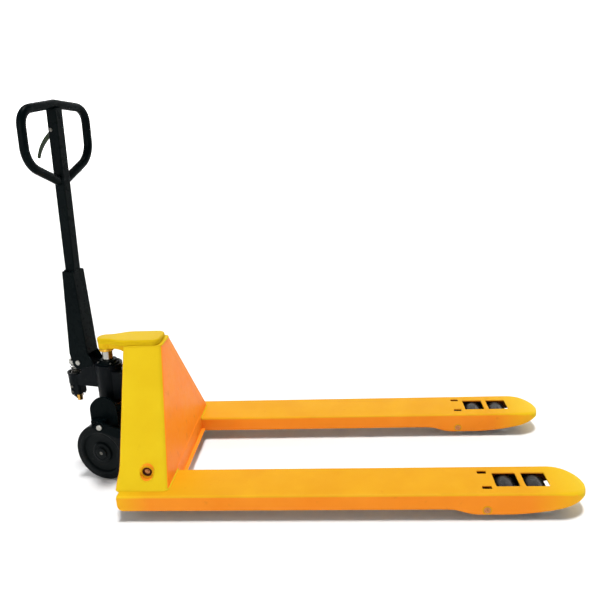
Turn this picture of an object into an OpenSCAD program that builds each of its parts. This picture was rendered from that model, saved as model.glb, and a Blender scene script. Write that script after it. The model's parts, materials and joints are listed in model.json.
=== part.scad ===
// Hand pallet jack: a fork frame that a hydraulic pump unit raises, with its
// steering wheels, tow handle, push rods and load rollers.
// X runs along the forks towards their tips, Y is to the operator's left, Z is up.
// The origin is on the floor, below the middle of the overall box.

/* [Fork frame] */
// Length of a fork, from its heel to its tip
fork_length = 1402; // [1300:1:1500]
// Width of one fork
fork_width = 160; // [150:1:170]
// Width over both forks
overall_width = 685; // [650:1:720]
// Height of the fork tops above the floor, lowered
fork_height = 85; // [82:1:90]
// Height of a fork's side
fork_side = 50; // [46:1:56]
// Thickness of the fork plate
plate = 4; // [3:0.5:5]
// Depth of the lower edge's drop beside the load rollers
belly_drop = 18; // [10:1:20]
// Height of the top of the head above the floor, lowered
head_top = 482; // [470:1:500]

/* [Lift] */
// Lift of the forks
lift = 110; // [60:1:110]
// Height of the cross shaft above the floor, lowered
shaft_z = 131; // [128:1:134]
// Diameter of the cross shaft
shaft_d = 30; // [26:1:32]
// Diameter of the ram
ram_d = 36; // [32:1:40]

/* [Load rollers] */
// Diameter of a load roller
roller_d = 80; // [74:1:80]
// Length of a load roller
roller_w = 70; // [60:1:72]
// Distance between the two roller axles of a bogie
roller_pitch = 86.5; // [84:0.5:90]
// Distance from the arm pivot to the bogie pivot, along X, lowered
arm_reach = 112; // [110:1:114]

/* [Steering] */
// Distance from the fork heels back to the steering axis
steer_back = 105; // [103:1:108]
// Angle at which the pump unit stands steered
steer_rest = -15; // [-20:1:20]
// Diameter of a steering wheel
wheel_d = 200; // [190:2:200]
// Width of a steering wheel
wheel_w = 50; // [40:1:50]
// Distance between the steering wheels' centres
track = 155; // [150:1:158]
// Diameter of the steering axle
axle_d = 25; // [20:1:28]

/* [Handle] */
// Height of the handle's hinge above the floor
hinge_z = 391; // [386:1:396]
// Distance of the handle's hinge from the steering axis
hinge_out = 100; // [98:1:102]
// Lean of the handle towards the forks at rest
handle_lean = 1.7; // [0:0.1:3]
// Height of the top of the handle's loop above the floor
handle_top = 1251; // [1150:1:1300]
// Side of the handle's square tube
tube_side = 36; // [32:1:40]
// Diameter of the loop's round bar
loop_bar = 28; // [24:1:32]
// Half of the loop's width, between bar centres
loop_half = 154; // [120:1:170]

/* [Hidden] */
$fn = 64;
gap = 0.05;            // running clearance on a radius
fork_y = (overall_width - fork_width) / 2;
fork_bottom = fork_height - fork_side;
tip_x = fork_length - 88;
bend_r = 8;

// load end of a fork
arm_pin_x = 1103;
arm_pin_z = 32;
arm_pin_d = 20;
axle_z = roller_d / 2;
bogie_x = arm_pin_x + arm_reach;
arm_len = sqrt(pow(arm_reach, 2) + pow(axle_z - arm_pin_z, 2));
arm_up = atan((axle_z - arm_pin_z) / arm_reach);
arm_swing = arm_up + asin((lift - axle_z + arm_pin_z) / arm_len);
crank_r = 36;
crank_pin_d = 12;
arm_sleeve_d = 30;
rod_y = 240;
rod_stroke = 2 * crank_r * sin(arm_swing / 2);
window = [70, 76];
window_x = [bogie_x - roller_pitch / 2, bogie_x + roller_pitch / 2];
slot = [29, 12];
slot_x = arm_pin_x + 5;
slot_y = 42.8;
groove_x = 160;

// rocker between the carrier and the cross shaft
shaft_x = 80;
yoke_pin_x = -110;
yoke_pin_z = 215;
yoke_pin_d = 16;
rocker_arm_y = 134;
rocker_arm_w = 12;
pin_dx = shaft_x - yoke_pin_x;
pin_dz = yoke_pin_z - shaft_z;
pin_r = norm([pin_dx, pin_dz]);
rocker_swing = atan(pin_dz / pin_dx) + asin((lift - pin_dz) / pin_r);
pin_drift = pin_r - pin_dx;
lever_r = rod_stroke / (2 * sin(rocker_swing / 2));
lever_z = shaft_z - lever_r * cos(rocker_swing / 2);
lever_x = shaft_x - lever_r * sin(rocker_swing / 2);
crank_z = arm_pin_z + crank_r * cos(arm_swing / 2);
crank_x = arm_pin_x - crank_r * sin(arm_swing / 2);
rod_z = (lever_z + crank_z) / 2;

// side plates, apron and head
side_foot_y = 312;
side_top_y = 54;
side_top_z = 462;
side_foot = [-8, 149];
side_top = [-30, 99];
side_slope = atan((side_foot_y - side_top_y) / (side_top_z - fork_height));
side_len = norm([side_foot_y - side_top_y, side_top_z - fork_height]);
lip_z = 40;
nose_r = 27;
nose_bottom = 443;
head_bottom = side_top_z;

// pump unit, about its own steering axis; the operator's side is -X there
steer_x = -steer_back;
wheel_r = wheel_d / 2;
neck_r = 35;
carrier_z = [205, 250];
cheek_y = [92, 102];
cheek_r = 45;
dome_top = 303;
ring_top = 256;
body_r = 45;
base_half = 36;
body_top = 388;
gland_top = 402;
ear = [17, 27];
housing_out = 137;
housing_r = 29;
housing_z = [306, 347];
cup_floor = 320;
cup_r = 25;
valve_r = 19;
plunger_d = 22;
cam_out = 131;
cam_z = 397;
cam_r = 12;
cam_gap = 1.5;
bracket_w = 62;
bracket_t = 3;
bracket_top = 710;
hinge_d = 18;
loop_z = handle_top - loop_bar / 2;
loop_drop = [16, 171, 236];
trigger_z = 1160;
rod_d = 6;

// from the fork heels to the middle of the overall box
housing_back = steer_x - housing_out * cos(steer_rest) - housing_r - 2;
heel_shift = (fork_length + housing_back) / 2;

// A point on a cubic curve, and n + 1 points along it
function cubic(p, t) = pow(1 - t, 3) * p[0] + 3 * pow(1 - t, 2) * t * p[1]
    + 3 * (1 - t) * t * t * p[2] + pow(t, 3) * p[3];
function curve(p, n) = [for (i = [0:n]) cubic(p, i / n)];
// n + 1 points of an arc about c, of radius r, from angle a to angle b
function arc(c, r, a, b, n) =
    [for (i = [0:n]) let (g = a + (b - a) * i / n) c + r * [cos(g), sin(g)]];

// The row's frame: heel coordinates moved to the middle of the overall box
module placed() {
    translate([-heel_shift, 0, 0]) children();
}

// side is 1 for the left fork and -1 for the right fork
module at_fork(side) {
    placed() translate([0, side * fork_y, 0]) children();
}

// The pump unit's own frame, standing steered
module steered() {
    placed() translate([steer_x, 0, 0]) rotate([0, 0, steer_rest]) children();
}

// The handle's frame: the hinge is its origin, and it leans towards the forks
module leaning() {
    steered() translate([-hinge_out, 0, hinge_z]) rotate([0, handle_lean, 0]) children();
}

// Turns an outline drawn as [X, Z] to stand across Y, from y0 to y1
module across(y0, y1) {
    translate([0, y1, 0]) rotate([90, 0, 0]) linear_extrude(y1 - y0) children();
}

// A cylinder along Y, centred on y
module bar_y(d, length, x = 0, y = 0, z = 0) {
    translate([x, y, z]) rotate([90, 0, 0]) cylinder(d = d, h = length, center = true);
}

// A ring along Y, centred on y
module ring_y(d, bore, length, x = 0, y = 0, z = 0) {
    difference() {
        bar_y(d, length, x, y, z);
        bar_y(bore, length + 2, x, y, z);
    }
}

// ---- forks ----

// Side outline of a fork: level top, rising heel corner, belly beside the rollers
module fork_outline(inset) {
    low = fork_bottom - belly_drop;
    heel = [[inset, 52], [inset + 2, 42], [inset + 6, fork_bottom + 1], [inset + 14, fork_bottom]];
    drop = [[985, fork_bottom], [1035, fork_bottom], [1035, low], [1090, low]];
    rise = [[1165, low], [1260, low + 2], [1310, 34], [fork_length - 20, 50]];
    polygon(concat(
        [[inset, fork_height - inset]],
        curve(heel, 6), curve(drop, 10), curve(rise, 12),
        [[fork_length, 52], [fork_length, 70]],
        curve([[fork_length, 70], [fork_length - 30, 76], [tip_x + 30, fork_height - inset],
            [tip_x - 10, fork_height - inset]], 8)));
}

// Plan outline of a fork with its round tip
module fork_plan(inset) {
    half = fork_width / 2 - inset;
    reach = fork_length - tip_x - inset;
    polygon(concat([[inset, -half]],
        [for (i = [0:24]) let (g = -90 + 180 * i / 24) [tip_x + reach * cos(g), half * sin(g)]],
        [[inset, half]]));
}

// Cross section of a fork, with bent upper corners
module fork_section(inset) {
    half = fork_width / 2 - inset;
    top = fork_height - inset;
    r = bend_r - inset;
    polygon(concat([[-half, 0]], arc([-half + r, top - r], r, 180, 90, 6),
        arc([half - r, top - r], r, 90, 0, 6), [[half, 0]]));
}

module fork_form(inset) {
    intersection() {
        across(-fork_width, fork_width) fork_outline(inset);
        linear_extrude(fork_height + 1) fork_plan(inset);
        rotate([90, 0, 90]) linear_extrude(fork_length + 1) fork_section(inset);
    }
}

// Hollow of the channel, open below
module fork_hollow() {
    half = fork_width / 2 - plate;
    translate([plate, -half, -1]) cube([tip_x - 12, 2 * half, fork_height - plate + 1]);
}

module fork(side) {
    at_fork(side) difference() {
        intersection() {
            fork_form(0);
            translate([0, -fork_width, 0]) cube([tip_x, 2 * fork_width, fork_height + 1]);
        }
        fork_hollow();
        for (x = window_x)
            translate([x - window[0] / 2, -window[1] / 2, fork_height - plate - 2])
                cube([window[0], window[1], plate + 4]);
        for (s = [-1, 1])
            translate([slot_x - slot[0] / 2, s * slot_y - slot[1] / 2, fork_height - plate - 2])
                cube([slot[0], slot[1], plate + 4]);
        bar_y(arm_pin_d, fork_width + 2, arm_pin_x, 0, arm_pin_z);
        // groove across the top, where the welded heel ends
        translate([groove_x - 1, -fork_width, fork_height - 0.5]) cube([2, 2 * fork_width, 2]);
        // room for the rocker's lever
        translate([15, side * (rod_y - fork_y) - 24, fork_height - plate - 2])
            cube([120, 48, plate + 4]);
    }
}

module left_fork() { color("#f5b021") fork(1); }
module right_fork() { color("#f5b021") fork(-1); }

// Solid nose of a fork, welded into its end
module fork_tip(side) {
    at_fork(side) intersection() {
        fork_form(0);
        translate([tip_x, -fork_width, 0]) cube([fork_width, 2 * fork_width, fork_height + 1]);
    }
}

module left_fork_tip() { color("#f5b021") fork_tip(1); }
module right_fork_tip() { color("#f5b021") fork_tip(-1); }

// ---- head frame ----

// A slanting side plate that stands on the fork and ends under the head
module side_plate(side) {
    t = 5;
    placed() mirror([0, side > 0 ? 0 : 1, 0]) difference() {
        translate([0, side_foot_y, fork_height]) rotate([side_slope, 0, 0]) rotate([90, 0, 0])
            linear_extrude(t)
                polygon([[side_foot[0] - 4, 0], [side_foot[1], 0], [side_top[1], side_len],
                    [side_top[0], side_len], [side_foot[0] - 1, 60], [side_foot[0] - 3.5, 30]]);
        // level foot and level top
        translate([-50, 0, fork_height - 20]) cube([300, 400, 20]);
        translate([-50, 0, side_top_z]) cube([300, 400, 20]);
        bar_y(46, 100, shaft_x, 275, shaft_z);
    }
}

module left_side_plate() { color("#f5c422") side_plate(1); }
module right_side_plate() { color("#f5c422") side_plate(-1); }

// The apron between the side plates, with a lip that drops between the forks
module front_apron() {
    t = 5;
    inner = fork_y - fork_width / 2;
    run = side_foot[1] - side_top[1];
    rise = side_top_z - fork_height;
    lean = atan(run / rise);
    color("#f59a23") placed() {
        difference() {
            intersection() {
                across(-400, 400) polygon([[side_foot[1], fork_height], [side_top[1], side_top_z],
                    [side_top[1] - t, side_top_z], [side_foot[1] - t, fork_height]]);
                rotate([90, 0, 90]) linear_extrude(400) polygon([
                    [-side_foot_y + 1, fork_height], [side_foot_y - 1, fork_height],
                    [side_top_y - 1, side_top_z], [-side_top_y + 1, side_top_z]]);
            }
            // clear of the side plates' inner faces
            for (s = [0, 1]) mirror([0, s, 0])
                translate([0, side_foot_y, fork_height]) rotate([side_slope, 0, 0])
                    translate([-100, -5.2, -50]) cube([400, 60, side_len + 100]);
        }
        translate([side_foot[1] - t, -inner + 0.5, lip_z])
            cube([t, 2 * inner - 1, fork_height - lip_z + 1]);
    }
}

// The head that the ram lifts, with its nose over the steering axis
module head_cap() {
    half = side_top_y - 2;
    front = side_top[1] - 9;
    color("#f7d11e") placed() {
        translate([0, 0, head_bottom]) linear_extrude(head_top - head_bottom) polygon(concat(
            [[-44, half - 12]], [[-20, half]],
            arc([front - 24, half - 24], 24, 90, 0, 6), arc([front - 24, 24 - half], 24, 0, -90, 6),
            [[-20, -half]], [[-44, 12 - half]],
            arc([steer_x, 0], nose_r, -80, -280, 16)));
        translate([steer_x, 0, nose_bottom]) cylinder(r = nose_r - 1.5, h = head_top - nose_bottom - 1);
        // rib that carries the nose
        translate([steer_x, -18, nose_bottom + 1]) cube([-steer_x - 32, 36, head_bottom - nose_bottom]);
    }
}

module cross_shaft() {
    color("silver") placed() bar_y(shaft_d, 566, shaft_x, 0, shaft_z);
}

// Collars in the side plates that hold the ends of the cross shaft
module shaft_sockets() {
    color("#f5c422") placed()
        for (s = [-1, 1]) ring_y(46, shaft_d, 20, shaft_x, s * 273, shaft_z);
}

// Chrome ram, which the pump pushes up under the nose
module ram() {
    color("gainsboro") placed() translate([steer_x, 0, 272])
        cylinder(d = ram_d, h = nose_bottom - 272);
}

// Bearing disc round the top of the ram
module thrust_disc() {
    color("#e8b92a") placed() translate([steer_x, 0, nose_bottom - 9]) difference() {
        cylinder(d = 50, h = 9);
        translate([0, 0, -1]) cylinder(d = ram_d, h = 11);
    }
}

// ---- carrier and rocker ----

// The carrier turns round the pump's neck and holds the rocker's pins in slots
module carrier() {
    slot_h = yoke_pin_d + 2.6;
    color("#20221f") placed() difference() {
        union() {
            translate([steer_x - cheek_r, -cheek_y[0] - 1, carrier_z[0]])
                cube([2 * cheek_r, 2 * cheek_y[0] + 2, carrier_z[1] - carrier_z[0]]);
            for (s = [-1, 1]) {
                across(s > 0 ? cheek_y[0] : -cheek_y[1], s > 0 ? cheek_y[1] : -cheek_y[0])
                    polygon(concat([[steer_x - cheek_r, 203]],
                        arc([steer_x, dome_top - cheek_r], cheek_r, 180, 0, 24),
                        [[steer_x + cheek_r, 203]]));
                translate([yoke_pin_x - pin_drift - 16, s > 0 ? cheek_y[1] - 1 : -cheek_y[1] - 19, 202])
                    cube([pin_drift + 32, 20, 28]);
            }
        }
        translate([steer_x, 0, 190]) cylinder(r = neck_r + gap, h = 80);
        for (s = [-1, 1]) hull() {
            bar_y(slot_h, 24, yoke_pin_x + 1, s * (cheek_y[1] + 12), yoke_pin_z);
            bar_y(slot_h, 24, yoke_pin_x - pin_drift - 1, s * (cheek_y[1] + 12), yoke_pin_z);
        }
    }
}

// Bearing ring between the carrier and the pump
module thrust_ring() {
    color("silver") placed() translate([steer_x, 0, carrier_z[1]]) difference() {
        cylinder(r = neck_r + 13, h = ring_top - carrier_z[1]);
        translate([0, 0, -1]) cylinder(r = neck_r + 0.5, h = 10);
    }
}

// Tapered plate between two round ends, drawn as [X, Z]
module link_outline(a, ra, b, rb) {
    hull() {
        translate(a) circle(r = ra, $fn = 32);
        translate(b) circle(r = rb, $fn = 32);
    }
}

// Rocker: two arms to the carrier, a sleeve on the cross shaft, and a lever into each fork
module rocker_arm() {
    sleeve = rod_y + 17;
    arm_in = rocker_arm_y - rocker_arm_w / 2;
    along = atan2(pin_dz, -pin_dx);
    color("#20221f") placed() difference() {
        union() {
            bar_y(46, 2 * sleeve, shaft_x, 0, shaft_z);
            for (s = [-1, 1]) {
                translate([shaft_x, s * rocker_arm_y, shaft_z]) rotate([0, -along, 0])
                    translate([0, 1 - rocker_arm_w / 2, -15]) cube([pin_r, rocker_arm_w - 2, 30]);
                bar_y(36, rocker_arm_w, yoke_pin_x, s * rocker_arm_y, yoke_pin_z);
                for (k = [-1, 1])
                    translate([shaft_x, s * rod_y + k * 12, shaft_z])
                        rotate([0, 90 + rocker_swing / 2, 0])
                            translate([0, -3, -10]) cube([lever_r, 6, 20]);
                for (k = [-1, 1])
                    bar_y(26, 8, lever_x, s * rod_y + k * 12, lever_z);
            }
        }
        bar_y(shaft_d + 2 * gap, 2 * sleeve + 2, shaft_x, 0, shaft_z);
        for (s = [-1, 1]) {
            bar_y(yoke_pin_d, 20, yoke_pin_x, s * rocker_arm_y, yoke_pin_z);
            bar_y(crank_pin_d, 50, lever_x, s * rod_y, lever_z);
        }
    }
}

// Pins of the rocker: two in the carrier's slots, two in the push rods
module rocker_pins() {
    color("silver") placed() for (s = [-1, 1]) {
        bar_y(yoke_pin_d, 36, yoke_pin_x, s * 125, yoke_pin_z);
        bar_y(24, 5, yoke_pin_x, s * 142.5, yoke_pin_z);
        bar_y(crank_pin_d, 34, lever_x, s * rod_y, lever_z);
    }
}

// ---- push rods, arms and rollers ----

// A rod from the rocker's lever to the roller arm's crank, with upright slots in its eyes
module push_rod(side) {
    rise = crank_r * (1 - cos(arm_swing / 2));
    color("#2a2c2a") placed() translate([0, side * rod_y, 0]) difference() {
        union() {
            across(-6, 6) polygon([[lever_x - 16, rod_z - 14], [lever_x + 16, rod_z - 14],
                [lever_x + 60, rod_z - 9], [crank_x - 60, rod_z - 9],
                [crank_x - 14, rod_z - 9], [crank_x + 14, rod_z - 9],
                [crank_x + 14, rod_z + 16], [crank_x - 14, rod_z + 16],
                [crank_x - 60, rod_z + 9], [lever_x + 60, rod_z + 9],
                [lever_x + 16, rod_z + 14], [lever_x - 16, rod_z + 14]]);
        }
        hull() for (z = [-1.6, 2.6])
            bar_y(crank_pin_d + 0.6, 20, lever_x, 0, lever_z - z);
        hull() for (z = [-0.8, rise + 0.8])
            bar_y(crank_pin_d + 1.6, 20, crank_x, 0, crank_z + z);
    }
}

module left_push_rod() { push_rod(1); }
module right_push_rod() { push_rod(-1); }

// Arm that swings down under the fork: sleeve on the pin, two side plates, a crank
module roller_arm(side) {
    off = side * (rod_y - fork_y);
    color("#2a2c2a") at_fork(side) difference() {
        union() {
            bar_y(arm_sleeve_d, 112, arm_pin_x, 0, arm_pin_z);
            for (k = [-1, 1]) {
                across(k * 52 - 4, k * 52 + 4)
                    link_outline([arm_pin_x, arm_pin_z], 15, [bogie_x, axle_z], 14);
                across(off + k * 12 - 4, off + k * 12 + 4)
                    link_outline([arm_pin_x, arm_pin_z], 15, [crank_x, crank_z], 11);
                bar_y(16, 17, bogie_x, k * 47.5, axle_z);
            }
            bar_y(crank_pin_d, 32, crank_x, off, crank_z);
        }
        bar_y(arm_pin_d + 2 * gap, 130, arm_pin_x, 0, arm_pin_z);
    }
}

module left_roller_arm() { roller_arm(1); }
module right_roller_arm() { roller_arm(-1); }

// Pin through the fork's sides, with a flush head at each end
module arm_pin(side) {
    color("silver") at_fork(side) bar_y(arm_pin_d, fork_width + 4, arm_pin_x, 0, arm_pin_z);
}

module left_arm_pin() { arm_pin(1); }
module right_arm_pin() { arm_pin(-1); }

// Bogie: two plates that hold a roller at each end of the arm's stub pins
module bogie(side) {
    half = roller_pitch / 2;
    color("#2a2c2a") at_fork(side) for (k = [-1, 1]) difference() {
        across(k * 42 - 3.5, k * 42 + 3.5) hull() {
            link_outline([bogie_x - half, axle_z], 14, [bogie_x + half, axle_z], 14);
            link_outline([bogie_x - half - 14, axle_z + 24], 10, [bogie_x + half + 10, axle_z + 24], 10);
        }
        for (x = [-half, half]) bar_y(20, 120, bogie_x + x, 0, axle_z);
        bar_y(16 + 2 * gap, 120, bogie_x, 0, axle_z);
    }
}

module left_bogie() { bogie(1); }
module right_bogie() { bogie(-1); }

module roller_axles(side) {
    color("silver") at_fork(side) for (x = window_x) bar_y(20, 93, x, 0, axle_z);
}

module left_roller_axles() { roller_axles(1); }
module right_roller_axles() { roller_axles(-1); }

// Steel core of a load roller, which runs on its axle
module roller_core(side, place) {
    color("dimgray") at_fork(side)
        ring_y(roller_d - 18, 20 + 2 * gap, roller_w, window_x[place], 0, axle_z);
}

// Tyre of a load roller, with its edges eased
module roller_tyre(side, place) {
    r = roller_d / 2;
    h = roller_w / 2;
    color("#1d1d1d") at_fork(side) translate([window_x[place], 0, axle_z]) rotate([90, 0, 0])
        rotate_extrude() polygon([[r - 9, -h], [r - 2, -h], [r, 2 - h], [r, h - 2], [r - 2, h], [r - 9, h]]);
}

module left_rear_roller_core() { roller_core(1, 0); }
module left_rear_roller_tyre() { roller_tyre(1, 0); }
module left_front_roller_core() { roller_core(1, 1); }
module left_front_roller_tyre() { roller_tyre(1, 1); }
module right_rear_roller_core() { roller_core(-1, 0); }
module right_rear_roller_tyre() { roller_tyre(-1, 0); }
module right_front_roller_core() { roller_core(-1, 1); }
module right_front_roller_tyre() { roller_tyre(-1, 1); }

// ---- pump unit ----

// Casting with the ram's cylinder, the reservoir, the ears and the plunger's housing
module pump_body() {
    color("#1c1f1d") steered() difference() {
        union() {
            translate([0, 0, ring_top]) cylinder(r = body_r, h = body_top - ring_top);
            translate([0, -34, 272]) cube([76, 68, 96]);
            for (k = [-1, 1]) {
                across(k * 22 - 5, k * 22 + 5) polygon(concat([[-20, 306],
                    [-housing_out + 19, 306], [-housing_out + 19, 342], [4 - hinge_out, 352]],
                    arc([-hinge_out, hinge_z], 19, -80, -320, 10), [[-20, 372]]));
            }
            translate([-housing_out, 0, housing_z[0]])
                cylinder(r = housing_r, h = housing_z[1] - housing_z[0] - 6);
            translate([-housing_out, 0, housing_z[1] - 6]) cylinder(r = housing_r + 2, h = 6);
            translate([-housing_out - 4, 0, 268]) cylinder(r = valve_r, h = 40);
        }
        translate([0, 0, 268]) cylinder(d = ram_d + 2 * gap, h = 200);
        translate([-housing_out, 0, 274]) cylinder(d = plunger_d + 2 * gap, h = 100);
        // cup for the plunger's spring
        translate([-housing_out, 0, cup_floor]) cylinder(r = cup_r, h = 40);
        bar_y(hinge_d + 2 * gap, 80, -hinge_out, 0, hinge_z);
        // slot between the ears for the release chain and its lever
        translate([-housing_out + housing_r + 0.5, -17, 300]) cube([housing_out - housing_r - 46, 34, 120]);
        bar_y(8, 44, -70, 0, 318);
    }
}

// Cast foot between the steering wheels, with the neck that the carrier turns on
module pump_base() {
    color("#1c1f1d") steered() difference() {
        union() {
            translate([0, 0, 196]) cylinder(r = neck_r, h = ring_top - 196);
            hull() {
                translate([-32, -base_half, 150]) cube([64, 2 * base_half, 50]);
                bar_y(60, 2 * base_half, 0, 0, wheel_r);
            }
        }
        bar_y(axle_d, 2 * base_half + 2, 0, 0, wheel_r);
    }
}

// Gland nut round the ram at the top of the cylinder
module gland_nut() {
    color("#2b2f2c") steered() translate([0, 0, body_top]) difference() {
        union() {
            cylinder(d = 74, h = 6);
            cylinder(d = 58, h = gland_top - body_top);
        }
        translate([0, 0, -1]) cylinder(d = ram_d + 2 * gap, h = 40);
    }
}

// Valve block below the plunger's housing
module valve_block() {
    color("#1c1f1d") steered() translate([-housing_out - 4, 0, 246]) difference() {
        union() {
            translate([0, 0, 8]) cylinder(r = 16, h = 14);
            cylinder(r = 10, h = 8);
            translate([-4, -16, 14]) cube([8, 32, 8]);
        }
        translate([16, -14, -1]) cylinder(r = 10.2, h = 30);
        translate([0, 0, -1]) cylinder(d = 6, h = 10);
    }
}

// Brass plug of the valve
module valve_plug() {
    color("#c79a35") steered() translate([-housing_out + 12, -14, 246])
        difference() {
            cylinder(d = 20, h = 20, $fn = 6);
            translate([0, 0, -1]) cylinder(d = 8, h = 6);
        }
}

module steering_axle() {
    color("silver") steered() bar_y(axle_d, track + wheel_w + 8, 0, 0, wheel_r);
}

// Caps that hold the wheels on the axle
module axle_caps() {
    color("silver") steered() for (s = [-1, 1])
        ring_y(40, axle_d, 3, 0, s * (track / 2 + wheel_w / 2 + 2), wheel_r);
}

module wheel_hub(side) {
    color("#262826") steered() translate([0, side * track / 2, wheel_r]) rotate([90, 0, 0]) difference() {
        cylinder(r = wheel_r - 15, h = wheel_w, center = true);
        cylinder(d = 52, h = wheel_w + 2, center = true);
        for (k = [-1, 1]) translate([0, 0, k * (wheel_w / 2)])
            difference() {
                cylinder(r = wheel_r * 0.72, h = 18, center = true);
                cylinder(r = 34, h = 20, center = true);
            }
    }
}

module wheel_tyre(side) {
    r = wheel_r;
    h = wheel_w / 2;
    color("#161716") steered() translate([0, side * track / 2, wheel_r]) rotate([90, 0, 0])
        rotate_extrude($fn = 96)
            polygon([[r - 15, -h], [r - 4, -h], [r, 4 - h], [r, h - 4], [r - 4, h], [r - 15, h]]);
}

// Two ball bearings in a steering wheel, each as one ring
module wheel_bearings(side) {
    color("silver") steered() for (k = [-1, 1])
        ring_y(52, axle_d + 2 * gap, 15, 0, side * track / 2 + k * (wheel_w / 2 - 7.5), wheel_r);
}

module left_wheel_hub() { wheel_hub(1); }
module left_wheel_tyre() { wheel_tyre(1); }
module left_wheel_bearings() { wheel_bearings(1); }
module right_wheel_hub() { wheel_hub(-1); }
module right_wheel_tyre() { wheel_tyre(-1); }
module right_wheel_bearings() { wheel_bearings(-1); }

// Plunger with a cap under the handle's cam roller
module plunger() {
    top = cam_z - cam_r - cam_gap;
    color("silver") steered() translate([-housing_out, 0, 0]) {
        translate([0, 0, 318]) cylinder(d = plunger_d, h = top - 318);
        translate([0, 0, top - 6]) cylinder(r = 20, h = 6);
    }
}

// Spring that returns the plunger, as a coil of round wire in closed rings
module plunger_spring() {
    top = cam_z - cam_r - cam_gap - 6;
    low = cup_floor;
    turns = 6;
    color("dimgray") steered() for (i = [0:turns - 1])
        translate([-housing_out, 0, low + 2 + (top - low - 4) * i / (turns - 1)])
            rotate_extrude() translate([17, 0]) circle(d = 3, $fn = 16);
}

// Lever between the ears that opens the valve
module valve_lever() {
    color("#3a3d3a") steered() {
        across(-5, 5) polygon([[-99, 312], [-99, 319], [-76, 325], [-64, 326], [-56, 320], [-56, 314], [-70, 311]]);
        bar_y(8 - 2 * gap, 40, -70, 0, 318);
    }
}

// Chain from the handle's rod to the valve lever
module release_chain() {
    color("dimgray") steered() for (i = [0:4])
        translate([4 - hinge_out, 0, 331 + 10.5 * i]) rotate([0, 0, i % 2 == 0 ? 0 : 90]) difference() {
            cube([2, 8, 13], center = true);
            cube([4, 4, 8.6], center = true);
        }
}

// ---- handle ----

// Folded channel that grips the tube and hangs on the hinge pin
module handle_bracket() {
    half = bracket_w / 2;
    up = bracket_top - hinge_z;
    color("#14171a") leaning() difference() {
        across(-half, half) polygon(concat(
            [[-22, up], [21, up], [41, 38], [56, 14], [58, -4], [40, -14]],
            arc([0, 0], 25, -45, -180, 8), [[-33, 30]]));
        // hollow between the cheeks, open towards the forks low down
        across(-half + bracket_t, half - bracket_t) polygon([[-18.2, up + 1], [18.2, up + 1],
            [18.2, 240], [37, 38], [80, 14], [80, -60], [-80, -60], [-80, 24], [-29.4, 24]]);
        bar_y(hinge_d, 80, 0, 0, 0);
        bar_y(10, 80, -(cam_out - hinge_out), 0, cam_z - hinge_z);
    }
}

// Square tube from the bracket to the loop
module handle_tube() {
    low = 250;
    top = loop_z - hinge_z - 13.6;
    s = tube_side;
    color("#14171a") leaning() difference() {
        translate([-s / 2, -s / 2, low]) cube([s, s, top - low]);
        translate([-s / 2 + 3, -s / 2 + 3, low - 1]) cube([s - 6, s - 6, top - low - 2]);
        // slot for the trigger
        translate([-s, -6, trigger_z - hinge_z - 46]) cube([s - 2, 12, 62]);
        bar_y(8, 60, -6, 0, trigger_z - hinge_z);
    }
}

// Corner points of the left half of the loop, from its top middle down to the tube
loop_line = [[0, 0], [loop_half, -loop_drop[0]], [loop_half, -loop_drop[1]], [tube_side / 2 - 3, -loop_drop[2]]];
loop_bend = [46, 50];
// One corner rounded with a curve of the given reach
function bend(a, b, c, reach, n) =
    let (p = b + reach * (a - b) / norm(a - b), q = b + reach * (c - b) / norm(c - b))
    curve([p, p + 0.6 * (b - p), q + 0.6 * (b - q), q], n);
function half_loop() = concat([loop_line[0]],
    bend(loop_line[0], loop_line[1], loop_line[2], loop_bend[0], 8),
    bend(loop_line[1], loop_line[2], loop_line[3], loop_bend[1], 8), [loop_line[3]]);
function whole_loop() = let (h = half_loop(), n = len(h))
    concat([for (i = [n - 1:-1:1]) [-h[i][0], h[i][1]]], h);

// Round bar along a flat line of [Y, Z] points, as rings of the given number of sides
module swept_bar(line, d, sides) {
    n = len(line);
    way = [for (i = [0:n - 1]) let (v = line[min(i + 1, n - 1)] - line[max(i - 1, 0)]) v / norm(v)];
    rings = [for (i = [0:n - 1]) for (k = [0:sides - 1]) let (g = 360 * k / sides, w = way[i])
        [d / 2 * cos(g), line[i][0] - d / 2 * sin(g) * w[1], line[i][1] + d / 2 * sin(g) * w[0]]];
    walls = [for (i = [0:n - 2]) for (k = [0:sides - 1]) let (j = (k + 1) % sides)
        [i * sides + k, i * sides + j, (i + 1) * sides + j, (i + 1) * sides + k]];
    ends = [[for (k = [sides - 1:-1:0]) k], [for (k = [0:sides - 1]) (n - 1) * sides + k]];
    polyhedron(rings, concat(walls, ends));
}

// Closed loop that the operator holds
module handle_loop() {
    color("#14171a") leaning() translate([0, 0, loop_z - hinge_z]) swept_bar(whole_loop(), loop_bar, 20);
}

// Pin of the handle's hinge, drilled across for the release rod
module hinge_pin() {
    color("silver") leaning() difference() {
        bar_y(hinge_d, bracket_w + 8);
        translate([0, 0, -20]) cylinder(d = 10, h = 40);
    }
}

// Roller on the bracket that presses the plunger
module cam_roller() {
    color("dimgray") leaning()
        ring_y(2 * cam_r, 10 + 2 * gap, 30, -(cam_out - hinge_out), 0, cam_z - hinge_z);
}

module cam_pin() {
    color("silver") leaning() bar_y(10, bracket_w + 6, -(cam_out - hinge_out), 0, cam_z - hinge_z);
}

// Curved control lever in the loop
module trigger() {
    z = trigger_z - hinge_z;
    color("#2c3a26") leaning() translate([-6, 0, z]) difference() {
        across(-4.5, 4.5) polygon(concat([[6, 5], [-4, 7]],
            curve([[-8, 4], [-30, -14], [-62, -36], [-76, -84]], 10),
            curve([[-70, -90], [-56, -50], [-28, -30], [-4, -8]], 10), [[5, -6]]));
        bar_y(8, 20);
    }
}

module trigger_pin() {
    color("silver") leaning() bar_y(8 - 2 * gap, tube_side + 4, -6, 0, trigger_z - hinge_z);
}

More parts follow.
